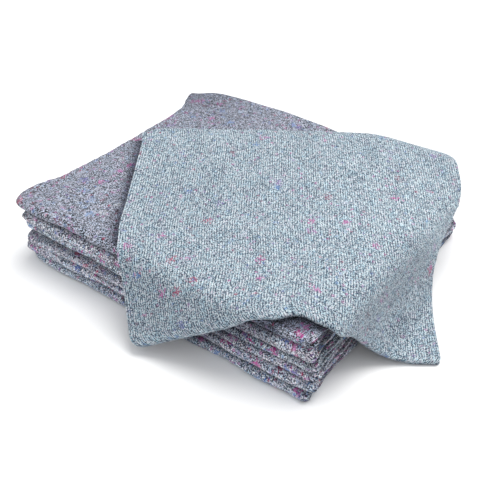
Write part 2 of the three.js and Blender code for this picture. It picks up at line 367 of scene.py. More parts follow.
class NodeKit:
    """Builds one material's nodes."""

    def __init__(self, name: str) -> None:
        """Starts an empty material of that name."""
        self.material = bpy.data.materials.new(name)
        self.material.use_nodes = True
        self.tree = self.material.node_tree
        self.tree.nodes.clear()

    def node(self, kind: str, settings: dict[str, Any] | None = None,
             sockets: dict[Any, Any] | None = None) -> bpy.types.Node:
        """Adds a node.

        Args:
            kind: The node's type.
            settings: Its settings, set first. "stops" is a colour ramp's list of places
                and colours.
            sockets: Values, or signals and sockets to link, by input name or number.

        Returns:
            The node.
        """
        made = self.tree.nodes.new(kind)
        for key, value in (settings or {}).items():
            if key == "stops":
                self._stops(made.color_ramp, value)
            else:
                setattr(made, key, value)
        for key, value in (sockets or {}).items():
            source = value.socket if isinstance(value, Signal) else value
            if isinstance(source, bpy.types.NodeSocket):
                self.tree.links.new(source, made.inputs[key])
            else:
                made.inputs[key].default_value = source
        return made

    @staticmethod
    def _stops(ramp: bpy.types.ColorRamp, stops: list[tuple[float, tuple]]) -> None:
        """Sets a ramp's stops."""
        while len(ramp.elements) < len(stops):
            ramp.elements.new(1.0)
        for element, (place, colour) in zip(ramp.elements, stops):
            element.position = place
            element.color = (*colour, 1.0)

    def signal(self, kind: str, settings: dict[str, Any] | None = None,
               sockets: dict[Any, Any] | None = None, output: Any = 0) -> Signal:
        """Adds a node and gives one of its outputs as a signal."""
        return Signal(self, self.node(kind, settings, sockets).outputs[output])

    def vector(self, operation: str, *values: Any) -> Signal:
        """A Vector Math node over the values."""
        return self.signal("ShaderNodeVectorMath", {"operation": operation},
                           dict(enumerate(values)))

    def noise(self, place: Signal, scale: float, detail: float = 0.0,
              rough: float = 0.5) -> Signal:
        """Flat noise of about 0 to 1, with one feature in each 1/scale metres."""
        return self.signal("ShaderNodeTexNoise", {"noise_dimensions": "2D"},
                           {"Vector": place, "Scale": scale, "Detail": detail,
                            "Roughness": rough})

    def mix(self, share: Any, first: Any, second: Any, blend: str = "MIX") -> Signal:
        """Mixes two colours by a share from 0 to 1."""
        return self.signal("ShaderNodeMix", {"data_type": "RGBA", "blend_type": blend},
                           {"Factor": share, 6: first, 7: second}, output=2)


# ---------------------------------------------------------------- finishes


class Surface(Enum):
    """How a felt's face is finished."""

    NEEDLED = "needled"
    STITCHED = "stitched"


@dataclass(frozen=True)
class Felt:
    """Recycled-fibre felt: a mottled ground with light and dark fibres and coloured clumps.

    The five shades run from its darkest specks to its lightest fibres, and the tone that
    picks among them from 0 to 1. A noise is its features to the metre, detail and roughness.
    """

    name: str
    shades: tuple[Colour, Colour, Colour, Colour, Colour]
    place: float
    clumps: float
    flecks: float
    contrast: float
    variety: float
    dye: float
    surface: Surface = Surface.NEEDLED
    row_pitch: float = 0.0036
    stitch: float = 0.0048

    CLOUD, PATCH, SPECK, DOTS = (28.0, 2.0), (120.0, 1.0), (680.0, 1.0, 0.65), (430.0,)
    DOT_EDGE, SHEAR = (0.67, 0.72), 0.37
    SHADE_TONES, MEAN_TONE = (0.05, 0.32, 0.52, 0.74, 1.0), 0.53
    CLOUD_TONE, PATCH_TONE, SPECK_TONE = 0.26, 0.30, 2.9
    LIGHT_TONE, DARK_TONE, DOT_TONE, ROW_TONE = 0.30, 0.34, 0.80, 0.70
    SPECK_HEIGHT, LIGHT_HEIGHT, DARK_HEIGHT, ROW_HEIGHT = 0.5, 0.6, 0.3, 0.8
    FIBRE_WAYS = {Surface.NEEDLED: (12.0, 38.0, 72.0, 98.0, 131.0, 160.0),
                  Surface.STITCHED: (96.0, 78.0, 104.0, 84.0, 20.0, 160.0)}
    FIBRE_SIZE, FIBRE_STEP, FIBRE_EDGE = (0.0080, 0.00125, 1.0), (0.31, 0.17), (0.56, 0.72)
    ROW_MEAN, ROW_SWAY, STITCH_SWAY, STITCH_DEPTH = 0.42, 0.3, 1.5, 0.22
    ROW_EDGE, FAINT_ROW = (0.30, 0.62), 0.3
    HUES, HUE_EDGE = ((75.0, 0.30, 0.28), (420.0, 0.75, 0.75)), (0.54, 0.72)
    BLUER, ROSIER = (0.60, 0.86, 1.0, 1.0), (1.0, 0.78, 0.88, 1.0)
    CLUMP_SIZES, CLUMP_CORE = ((80.0, 0.50), (230.0, 0.56)), 0.20
    CLUMP_BREAKS, CLUMP_SHAKE = 3.0, 2.2
    CLUMP_COLOURS = ((0.0, (0.52, 0.035, 0.27)), (0.24, (0.56, 0.16, 0.42)),
                     (0.42, (0.06, 0.14, 0.42)), (0.56, (0.17, 0.33, 0.66)),
                     (0.68, (0.74, 0.76, 0.80)), (0.82, (0.02, 0.03, 0.05)),
                     (0.95, (0.50, 0.02, 0.11)))
    # The dark blue-grey that painted shade darkens the felt's colour towards.
    PAINTED_SHADE_COLOUR = (0.12, 0.13, 0.18, 1.0)

    def material(self) -> bpy.types.Material:
        """Builds the finish.

        Returns:
            The material, which reads the piece's cloth map and its share of painted shade.
        """
        kit = NodeKit(self.name)
        flat = kit.signal("ShaderNodeUVMap", {"uv_map": CLOTH_MAP})
        place = kit.vector("ADD", flat, (self.place, self.place * self.SHEAR, 0.0))
        cloud, patch, speck = (kit.noise(place, *grain)
                               for grain in (self.CLOUD, self.PATCH, self.SPECK))
        dots = kit.noise(place, *self.DOTS).between(*self.DOT_EDGE)
        light, dark = self._fibres(kit, place)
        tone = (self.MEAN_TONE + (cloud - 0.5) * self.CLOUD_TONE + (patch - 0.5) * self.PATCH_TONE
                + (speck - 0.5) * (self.SPECK_TONE * self.contrast)
                + light * (self.LIGHT_TONE * self.contrast)
                - dark * (self.DARK_TONE * self.contrast) - dots * self.DOT_TONE)
        height = speck * self.SPECK_HEIGHT + light * self.LIGHT_HEIGHT - dark * self.DARK_HEIGHT
        if self.surface is Surface.STITCHED:
            rows = self._rows(kit, flat, cloud, patch)
            tone = tone + (rows - self.ROW_MEAN) * self.ROW_TONE
            height = height + rows * self.ROW_HEIGHT
        colour = kit.signal("ShaderNodeValToRGB",
                            {"stops": list(zip(self.SHADE_TONES, self.shades))}, {"Fac": tone})
        colour = self._clumps(kit, place, self._hues(kit, place, colour))
        # Painted shade: each point's share darkens the colour towards that blue-grey.
        painted = kit.signal("ShaderNodeAttribute", {"attribute_name": CLOTH_SHADE}, output="Fac")
        colour = kit.mix(painted, colour, self.PAINTED_SHADE_COLOUR, "MULTIPLY")
        bump = kit.node("ShaderNodeBump", {}, {
            "Strength": 0.5, "Distance": 0.0009, "Height": height})
        shader = kit.node("ShaderNodeBsdfPrincipled", {}, {
            "Base Color": colour, "Roughness": 0.96, "Specular IOR Level": 0.15,
            "Sheen Weight": 0.10, "Sheen Roughness": 0.6, "Normal": bump.outputs["Normal"]})
        kit.node("ShaderNodeOutputMaterial", {}, {"Surface": shader.outputs["BSDF"]})
        return kit.material

    def _fibres(self, kit: NodeKit, place: Signal) -> tuple[Signal, Signal]:
        """Short fibres: noise drawn out along several directions.

        Args:
            kit: The material's nodes.
            place: Flat place on the felt.

        Returns:
            The light ones and the dark ones.
        """
        found: list[Signal] = []
        for index, degrees in enumerate(self.FIBRE_WAYS[self.surface]):
            over, along = (step * index for step in self.FIBRE_STEP)
            drawn = kit.signal("ShaderNodeMapping", {"vector_type": "TEXTURE"}, {
                "Vector": place, "Location": (over, along, 0.0),
                "Rotation": (0.0, 0.0, math.radians(degrees)), "Scale": self.FIBRE_SIZE})
            found.append(kit.noise(drawn, 1.0).between(*self.FIBRE_EDGE))
        return found[0] + found[2] + found[4], found[1] + found[3] + found[5]

    def _rows(self, kit: NodeKit, flat: Signal, cloud: Signal, patch: Signal) -> Signal:
        """Rows of stitches: ribs along the felt, fainter in places, each a chain of stitches.

        A rib and a stitch each rise and fall as a cosine. The rows sway with the cloud, and
        each one's stitches start at a place of their own.

        Args:
            kit: The material's nodes.
            flat: Flat place on the blanket.
            cloud: Large noise.
            patch: Smaller noise.

        Returns:
            The rows' height, from 0 to 1.
        """
        axes = kit.node("ShaderNodeSeparateXYZ", {}, {0: flat})
        over, along = (Signal(kit, axes.outputs[i]) for i in (0, 1))
        place = over * (1.0 / self.row_pitch) + cloud * self.ROW_SWAY
        chance = kit.signal("ShaderNodeTexWhiteNoise", {"noise_dimensions": "1D"},
                            {"W": place.floor()})
        rib = (place * (2.0 * math.pi)).cosine() * -0.5 + 0.5
        step = ((along * (1.0 / self.stitch) + chance + patch * self.STITCH_SWAY)
                * (2.0 * math.pi)).cosine() * 0.5 + 0.5
        strength = patch.between(*self.ROW_EDGE) * (1.0 - self.FAINT_ROW) + self.FAINT_ROW
        chain = step * self.STITCH_DEPTH + (1.0 - self.STITCH_DEPTH)
        return (rib - self.ROW_MEAN) * chain * strength + self.ROW_MEAN

    def _hues(self, kit: NodeKit, place: Signal, ground: Signal) -> Signal:
        """Soft patches of bluer and of rosier fibre, in two sizes.

        Args:
            kit: The material's nodes.
            place: Flat place on the felt.
            ground: The colour so far.

        Returns:
            The new colour.
        """
        for scale, blue, rose in self.HUES:
            noise = kit.noise(place, scale, 1.0)
            for spot, share, tint in ((noise, blue, self.BLUER), (1.0 - noise, rose, self.ROSIER)):
                spot = spot.between(*self.HUE_EDGE)
                ground = kit.mix(spot * (share * self.variety), ground, tint, "MULTIPLY")
        return ground

    def _clumps(self, kit: NodeKit, place: Signal, ground: Signal) -> Signal:
        """Coloured clumps and flecks: some cells of a broken-up pattern take a colour.

        Args:
            kit: The material's nodes.
            place: Flat place on the felt.
            ground: The colour so far.

        Returns:
            The new colour.
        """
        for (scale, reach), share in zip(self.CLUMP_SIZES, (self.clumps, self.flecks)):
            shake = kit.signal("ShaderNodeTexNoise", {"noise_dimensions": "2D"},
                               {"Vector": place, "Scale": scale * self.CLUMP_BREAKS,
                                "Detail": 2.0}, output="Color")
            centred, much = kit.vector("SUBTRACT", shake, (0.5,) * 3), self.CLUMP_SHAKE / scale
            moved = kit.vector("MULTIPLY_ADD", centred, (much, much, 0.0), place)
            cells = kit.node("ShaderNodeTexVoronoi", {"voronoi_dimensions": "2D"},
                             {"Vector": moved, "Scale": scale, "Randomness": 1.0})
            parts = kit.node("ShaderNodeSeparateColor", {}, {0: cells.outputs["Color"]})
            chosen = Signal(kit, parts.outputs[0]).below(share)
            pick = kit.signal("ShaderNodeValToRGB", {"stops": list(self.CLUMP_COLOURS)},
                              {"Fac": Signal(kit, parts.outputs[1])})
            near = 1.0 - Signal(kit, cells.outputs["Distance"]).between(self.CLUMP_CORE, reach)
            ground = kit.mix(chosen * near * self.dye, ground, pick)
        return ground


@dataclass(frozen=True)
class PaleFloor:
    """The studio's plain floor."""

    colour: Colour = (0.93, 0.93, 0.935)

    def material(self) -> bpy.types.Material:
        """A plain matt white."""
        kit = NodeKit("studio_floor")
        shader = kit.node("ShaderNodeBsdfPrincipled", {}, {
            "Base Color": (*self.colour, 1.0), "Roughness": 0.9, "Specular IOR Level": 0.0})
        kit.node("ShaderNodeOutputMaterial", {}, {"Surface": shader.outputs["BSDF"]})
        return kit.material


# ---------------------------------------------------------------- the stack


@dataclass(frozen=True)
class Tier:
    """One folded blanket's own sizes. The heights and rounds are at its four plan corners."""

    shift: Pair
    turn: float
    longer: float
    wider: float
    heights: Four
    rounds: Four
    end_skew: float


@dataclass(frozen=True)
class Groove:
    """A pressed-in wrinkle along a folded edge, from one place to another."""

    level: int
    start: Pair
    end: Pair
    depth: float
    width: float


@dataclass(frozen=True)
class PaintedPatch:
    """A soft patch of painted shade, or of painted light if its share is below 0: a bell both ways.
    """

    at: Pair
    half: Pair
    share: float

    def over(self, x: Array, y: Array) -> Array:
        """The patch's share at places."""
        return self.share * hill(x, self.at[0], self.half[0]) * hill(y, self.at[1], self.half[1])


@dataclass
class Stack:
    """What the folded blankets share: their plan, their plies and the levels between them."""

    length: float = 508.0
    width: float = 445.0
    centre: Pair = (42.7, -4.5)
    ply: float = 3.4
    gap: float = 1.0
    tier_gap: float = 1.4
    tiers: tuple[Tier, ...] = (
        Tier((4, -3), -1.2, 4, 6, (14, 15, 18, 18), (19, 6, 11, 18), 4),
        Tier((0, -3), -0.4, 16, 2, (20, 17, 17, 17), (8, 8, 8, 20), -5),
        Tier((0, -2), 0.5, 8, 2, (14, 13, 17, 17), (11, 10, 6, 14), 6),
        Tier((-1, 2), -0.6, 18, -2, (23, 12, 18, 17), (10, 7, 5, 22), -3),
        Tier((-3.5, -1), 0.4, 4, 1, (18, 27, 18, 16), (10, 8, 6, 16), 5),
        Tier((-3, -1), 0.0, 2, -1, (18, 21, 18, 18), (24, 9, 12, 5), 26))
    slump: Pair = (3.6, 34.0)
    wave: Four = (1.2, 560.0, 500.0, 1.3)
    lumps: tuple[Ripple, ...] = tuple(Ripple(40 + level, 95.0, 0.34) for level in range(7))
    beyond: float = 0.05

    def ply_heights(self) -> list[float]:
        """The heights of the four plies' middles in a folded blanket."""
        return [self.ply / 2 + ply * (self.ply + self.gap) for ply in range(4)]

    def section_height(self) -> float:
        """Four plies and their three gaps."""
        return 4 * self.ply + 3 * self.gap

    def level(self, level: int, x: Array, y: Array) -> Array:
        """The surface between blankets: level 0 is the floor and level n the top of blanket n.

        Each blanket adds a height that runs straight between its corners. One slow wave and
        some lumps go on top, and the last level is pressed down at the stack's two ends.

        Args:
            level: Which surface.
            x: Places along the stack's length.
            y: Places along its width.

        Returns:
            Heights above the floor.
        """
        low, high = -self.beyond, 1 + self.beyond
        u = np.clip(x / self.length + 0.5, low, high)
        v = np.clip(y / self.width + 0.5, low, high)
        height = np.zeros(np.broadcast(u, v).shape)
        if level == 0:
            return height
        for tier in self.tiers[:level]:
            near_left, near_right, far_right, far_left = tier.heights
            height = height + (near_left * (1 - u) * (1 - v) + near_right * u * (1 - v)
                               + far_right * u * v + far_left * (1 - u) * v)
        swell, long_x, long_y, phase = self.wave
        swing = (np.sin(x * 2 * np.pi / long_x + level * phase)
                 * np.cos(y * 2 * np.pi / long_y - level * phase))
        if level == len(self.tiers):
            depth, run = self.slump
            to_end = self.length / 2 - np.abs(x)
            height = height - depth * fall(to_end, 0.0, run)
        return height + swell * swing + self.lumps[level].at(x, y)

    def placed(self, points: Array) -> Array:
        """The points moved from the stack's plan to the frame of the whole object."""
        return points - np.array([*self.centre, 0.0])


def dress(piece: bpy.types.Object, finish: Felt, node: str) -> None:
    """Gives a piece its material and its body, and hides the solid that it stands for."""
    piece.data.materials.append(finish.material())
    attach(piece, "root")
    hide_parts(node)


@dataclass(frozen=True)
class PaintedFoldShade:
    """Painted shade in a folded blanket's felt, as shares, and where it fades, in millimetres.

    upper_from, from where its upper face counts, is a share of its height. A top crease is
    that many times narrower. crease, inside and end are painted shade in creases, inside
    the ends and at recessed ply ends, top an even share over the top blanket, and upper
    painted shade on the others' upper face where the blanket above is set back.
    """

    crease: float = 0.62
    crease_height: float = 3.4
    top_crease: float = 4.0
    fold_run: float = 16.0
    inside: float = 0.35
    inside_fade: Ramp = (5.0, 9.0)
    skin: float = 2.2
    end: float = 0.85
    end_run: float = 14.0
    deepest: float = 6.0
    top: float = 0.18
    upper: float = 0.32
    upper_fade: Ramp = (8.0, 25.0)
    upper_from: float = 0.8
    upper_blur: float = 1.5


@dataclass
class FoldedBlanket:
    """A blanket of the stack: a strip of felt folded in half twice, four plies.

    The ends and the recess say how far each ply stops short, from the bottom ply up. The
    reaches, the hollow, the tuck and the bulge shape the top blanket's left end and back.
    A ragged wave is its size and height, and a swell also how much it changes with height.
    """

    stack: Stack
    number: int
    finish: Felt
    cover: "DrapedBlanket"
    recess: tuple[float, ...]
    grooves: tuple[Groove, ...]
    # Patches of painted shade, and of painted light where a share is below 0, on the top blanket.
    patches: tuple[PaintedPatch, ...]
    near_reach: float = 14.0
    near_run: float = 95.0
    far_reach: float = 24.0
    far_run: float = 72.0
    hollow: float = 6.0
    tuck: float = 15.0
    tuck_run: float = 60.0
    bulge: float = 15.0
    bulge_share: float = 0.7
    shift_share: float = 0.4
    skew_pivot: float = 0.3
    left_ends: tuple[float, ...] = (0.0, 2.5, 1.0, 2.0)
    right_ends: tuple[float, ...] = (1.5, 0.0, 2.5, 4.5)
    top_right_ends: tuple[float, ...] = (1.5, 0.0, 0.5, -1.5)
    end_run: float = 110.0
    recess_run: float = 40.0
    past_fold: Ramp = (3.0, 16.0)
    ragged: tuple[Pair, ...] = ((70.0, 1.1), (13.0, 0.4))
    ragged_stretch: float = 9.0
    ragged_run: float = 40.0
    swells: tuple[Triple, ...] = ((120.0, 1.1, 4.0), (30.0, 0.38, 2.2))
    swell_run: float = 13.0
    groove_run: float = 18.0
    thinned: float = 0.36
    thin_run: float = 24.0
    fold_margin: float = 3.0
    steps: int = 42
    top_steps: int = 96
    inner_steps: int = 8
    outer_steps: int = 22
    end_stations: tuple[float, ...] = (0.0, 0.8, 2.0, 4.0, 7.0, 11.0, 16.0)
    inner_from: float = 21.0
    inner_stations: int = 98
    # Painted shade in creases, at the ends and on the upper faces.
    painted_shading: PaintedFoldShade = PaintedFoldShade()

    def __post_init__(self) -> None:
        """Works out its names, its own sizes and the first of its seeds."""
        self.name, self.node = f"folded_felt_{self.number + 1}", f"folded_blanket_{self.number + 1}"
        self.tier = self.stack.tiers[self.number]
        self.length = self.stack.length + self.tier.longer
        self.width = self.stack.width + self.tier.wider
        self.top = self.number == len(self.stack.tiers) - 1
        self.seed = 100 + 10 * self.number

    def section(self) -> Section:
        """The felt's way through the folds.

        The third ply runs from its free edge to the front and turns down into the second,
        which turns at the back into the first. That one turns up at the front round the
        others into the fourth. Across the felt points away from the middle of the folds.
        The free edges stop 2 to 5 mm short, each blanket's by its own amounts.

        Returns:
            The section.
        """
        at, middle = self.stack.ply_heights(), self.stack.section_height() / 2
        inner, outer = (at[2] - at[1]) / 2, (at[3] - at[0]) / 2
        front = outer + self.stack.ply / 2
        back = self.width - inner - self.stack.ply / 2
        free = (self.width - (2 + self.number % 3), self.width - (5 - self.number % 4))
        run, upper = (np.linspace(front + self.fold_margin, back - self.fold_margin, steps)
                      for steps in (self.steps, self.top_steps if self.top else self.steps))
        return Section.join([
            Section.level(np.concatenate([[free[0]], run[::-1]]), at[2], 1.0),
            Section.turn((front, middle), inner, 90, 270, self.inner_steps, False),
            Section.level(run, at[1], -1.0),
            Section.turn((back, (at[0] + at[1]) / 2), inner, 90, -90, self.inner_steps, True),
            Section.level(run[::-1], at[0], 1.0),
            Section.turn((front, middle), outer, 270, 90, self.outer_steps, True),
            Section.level(np.concatenate([upper, [free[1]]]), at[3], -1.0)])

    def stations(self) -> Array:
        """Places along the blanket, close together at its cut ends."""
        end = np.array(self.end_stations)
        inside = np.linspace(self.inner_from, self.length - self.inner_from, self.inner_stations)
        return np.concatenate([end, inside, self.length - end[::-1]])

    def _by_ply(self, values: tuple[float, ...], h: Array) -> Array:
        """A value of each ply, straight between them, read at a height in the section."""
        return np.interp(h, self.stack.ply_heights(), values)

    def place(self, along: Array, s: Array, h: Array) -> Array:
        """Where points of the blanket lie.

        The section is carried along the blanket. Its edges are pulled in round the corners,
        its plies' ends stop short by their own amounts, and its height fills the space
        between the levels below and above it.

        Args:
            along: Distances along the blanket, stations by 1.
            s: Distances from the front, by section point.
            h: Heights in the section.

        Returns:
            The points, in the stack's plan.
        """
        stack, tier, length, width = self.stack, self.tier, self.length, self.width
        s = np.broadcast_to(s, np.broadcast(along, s).shape)
        h = np.broadcast_to(h, s.shape)
        to_end = length - along
        near_left, near_right, far_right, far_left = tier.rounds
        front = corner_inset(near_left, along) + corner_inset(near_right, to_end)
        back = corner_inset(far_left, along) + corner_inset(far_right, to_end)
        ragged = sum(Ripple(self.seed + i, size, height).at(s, h * self.ragged_stretch)
                     for i, (size, height) in enumerate(self.ragged))
        right_ends = self.top_right_ends if self.top else self.right_ends
        recessed = fall(to_end, 0.0, self.recess_run) * rise(s, *self.past_fold)
        short = (self._by_ply(self.left_ends, h) * fall(along, 0.0, self.end_run)
                 - self._by_ply(right_ends, h) * fall(to_end, 0.0, self.end_run)
                 - self._by_ply(self.recess, h) * recessed
                 + ragged * fall(along, 0.0, self.ragged_run)
                 - ragged * fall(to_end, 0.0, self.ragged_run))
        shift = tier.end_skew * (s / width - self.skew_pivot)
        if self.top:
            swell = np.sin(np.pi * np.minimum(along / (length * self.bulge_share), 1))
            back = back + self.tuck * fall(along, 0.0, self.tuck_run) - self.bulge * swell
            shift = shift - (self.near_reach * fall(s, 0.0, self.near_run)
                             + self.far_reach * fall(width - s, 0.0, self.far_run)
                             - self.hollow * np.sin(np.pi * np.clip(s / width, 0, 1)))
        shift = shift * fall(along, 0.0, length * self.shift_share)
        across = front + s * (width - front - back) / width + self._roll(along, s, h)
        x, y = turned(along - length / 2 + short + shift, across - width / 2, tier.turn)
        x, y = x + tier.shift[0], y + tier.shift[1]
        low = stack.level(self.number, x, y) + (stack.tier_gap if self.number else 0.0)
        high = stack.level(self.number + 1, x, y)
        return np.stack([x, y, low + (high - low) * h / stack.section_height()], -1)

    def _roll(self, along: Array, s: Array, h: Array) -> Array:
        """How far the folded edge is pushed in: slow swells, small lumps and grooves.

        All of it fades away from the fold as exp(-s / run). A groove is a bell across its own
        line, which runs straight from its start to its end and fades in and out.

        Args:
            along: Distances along the blanket.
            s: Distances from the front.
            h: Heights in the section.

        Returns:
            Distances towards the back.
        """
        pushed = sum(Ripple(self.seed + 2 + i, size, height).at(along, h * stretch)
                     for i, (size, height, stretch) in enumerate(self.swells))
        for groove in self.grooves:
            if groove.level != self.number:
                continue
            (x0, h0), (x1, h1) = groove.start, groove.end
            line = h0 + (h1 - h0) * np.clip((along - x0) / (x1 - x0), 0.0, 1.0)
            fade = rise(along, x0, self.groove_run) * rise(x1 - along, 0.0, self.groove_run)
            pushed = pushed + groove.depth * fade * hill(h, line, groove.width)
        return pushed * np.exp(-np.maximum(s, 0.0) / self.swell_run)

    def _shade(self, along: Array, section: Section) -> Array:
        """Shade painted into the felt: in creases, inside the ends, and below the draped blanket.

        A crease's share falls off as a bell with the height from the blanket's top or bottom,
        and as exp(-s / run) with the distance from the front. An end's falls off from its
        cut edges, and is greater for plies that lie further in. The top blanket also has painted
        shadow beside the draped blanket, patches of painted shade and light and an even share;
        the others have painted shade on their upper face where the blanket above is set back.

        Args:
            along: Distances along the blanket, stations by 1.
            section: The felt's section.

        Returns:
            Shares from 0 to 1, by station and section point.
        """
        painted, high = self.painted_shading, self.stack.section_height()
        from_top = (high - section.h) * (painted.top_crease if self.top else 1.0)
        at_front = np.exp(-np.maximum(section.s, 0.0) / painted.fold_run)
        crease = hill(np.minimum(section.h, from_top), 0.0, painted.crease_height) * at_front
        to_end = self.length - along
        start, run = painted.inside_fade
        inside = fall(np.abs(np.minimum(along, to_end) - start), 0.0, run)
        deep = np.clip(self._by_ply(self.recess, section.h) / painted.deepest, 0.0, 1.0)
        at_end = fall(to_end, 0.0, painted.end_run) * deep * rise(section.s, *self.past_fold)
        total = (painted.crease * crease + painted.inside * inside * (section.h < high - painted.skin)
                 + painted.end * at_end)
        x, y, z = np.moveaxis(self.place(along, section.s, section.h), -1, 0)
        total = total + self.cover.below(x, z) * at_front
        upper = np.clip((section.h - painted.upper_from * high) / painted.upper_blur, 0.0, 1.0)
        if self.top:
            # The top blanket: painted shadow beside the draped blanket, patches of painted shade
            # and light, and an even share of painted shade.
            patches = sum(patch.over(x, y) for patch in self.patches)
            total = total + upper * (self.cover.beside(x, y) + patches) + painted.top
        else:
            total = total + painted.upper * upper * rise(section.s, *painted.upper_fade)
        return np.clip(total, 0.0, MOST_PAINTED_SHADE)

    def build(self) -> bpy.types.Object:
        """Makes the blanket, dresses it and has it stand for its solid.

        Returns:
            The finished piece.
        """
        section, stations = self.section(), self.stations()[:, None]
        to_end = np.minimum(stations, self.length - stations)
        half = self.stack.ply / 2 * (1 - self.thinned * fall(to_end, 0.0, self.thin_run))
        faces = [self.stack.placed(self.place(
            stations, section.s + side * section.out_s * half,
            section.h + side * section.out_h * half)) for side in (1.0, -1.0)]
        run = section.run()
        felt = FeltMesh(*faces, stations[:, 0], run, self.stack.ply, seed=500 + self.number)
        felt.shade = self._shade(stations, section)
        piece = felt.build(self.name)
        dress(piece, self.finish, self.node)
        return piece


# ---------------------------------------------------------------- the draped blanket


@dataclass(frozen=True)
class Edge:
    """An edge of the stack that the draped blanket bends down over.

    at is where the bend starts, slope the angle that it bends to, and foot the radius with
    which it comes level again on the floor, flaring by a last angle.
    """

    at: float
    radius: float
    slope: float
    foot: float = 0.0
    flare: float = 0.0

    def bend(self, distance: Array, drop: Array) -> tuple[Array, Array]:
        """The way out and down at a distance over the bend.

        A round of the radius to the slope, a straight run, and where there is a foot a round
        the other way that ends at the drop.

        Args:
            distance: Distances along the felt from the start of the bend.
            drop: How far below the bend the floor is.

        Returns:
            How far out, and how far down.
        """
        slope, flare = math.radians(self.slope), math.radians(self.flare)
        turn_run = self.radius * slope
        first = np.minimum(distance, turn_run) / self.radius
        out = self.radius * np.sin(first)
        down = self.radius * (1 - np.cos(first))
        past = np.maximum(distance - turn_run, 0.0)
        if not self.foot:
            return out + past * math.cos(slope), down + past * math.sin(slope)
        last = slope - flare if self.flare else 0.0
        round_down = self.radius * (1 - math.cos(slope))
        foot_down = self.foot * (math.cos(last) - math.cos(slope))
        straight = np.maximum((drop - round_down - foot_down) / math.sin(slope), 0.0)
        run = np.minimum(past, straight)
        rest = past - run
        foot_run = np.minimum(rest, self.foot * (slope - last))
        now = slope - foot_run / self.foot
        end = rest - foot_run
        out = (out + run * math.cos(slope) + self.foot * (math.sin(slope) - np.sin(now))
               + end * math.cos(last))
        down = (down + run * math.sin(slope) + self.foot * (np.cos(now) - math.cos(slope))
                + end * math.sin(last))
        return out, down


@dataclass(frozen=True)
class PaintedDrapeShade:
    """Painted shade on the draped blanket and the felt round it, and where that fades.

    beside and ahead are painted shadow on the felt along its left and front edges, below
    painted shade on the stack's near side under its fold, and the rest painted shade on the
    blanket itself, base an even share. A fade is where it starts and its run, in millimetres,
    but for under_fade's, which are shares of its thickness.
    """

    beside: float = 0.88
    beside_half: float = 13.0
    ahead: float = 0.25
    ahead_half: float = 4.0
    ahead_across: Ramp = (0.0, 20.0)
    ahead_along: Ramp = (100.0, 100.0)
    overlap: float = 2.0
    end_fade: Ramp = (-8.0, 16.0)
    below: float = 0.78
    below_half: float = 28.0
    below_across: Ramp = (0.0, 30.0)
    below_hanging: Ramp = (0.0, 12.0)
    fold_height: float = 107.0
    base: float = 0.10
    hang: float = 0.17
    hang_fade: Ramp = (2.0, 40.0)
    side: float = 0.24
    side_start: Ramp = (-12.0, 45.0)
    side_end: Ramp = (108.0, 34.0)
    side_along: Ramp = (205.0, 70.0)
    under: float = 0.55
    under_fade: Ramp = (0.25, 0.3)


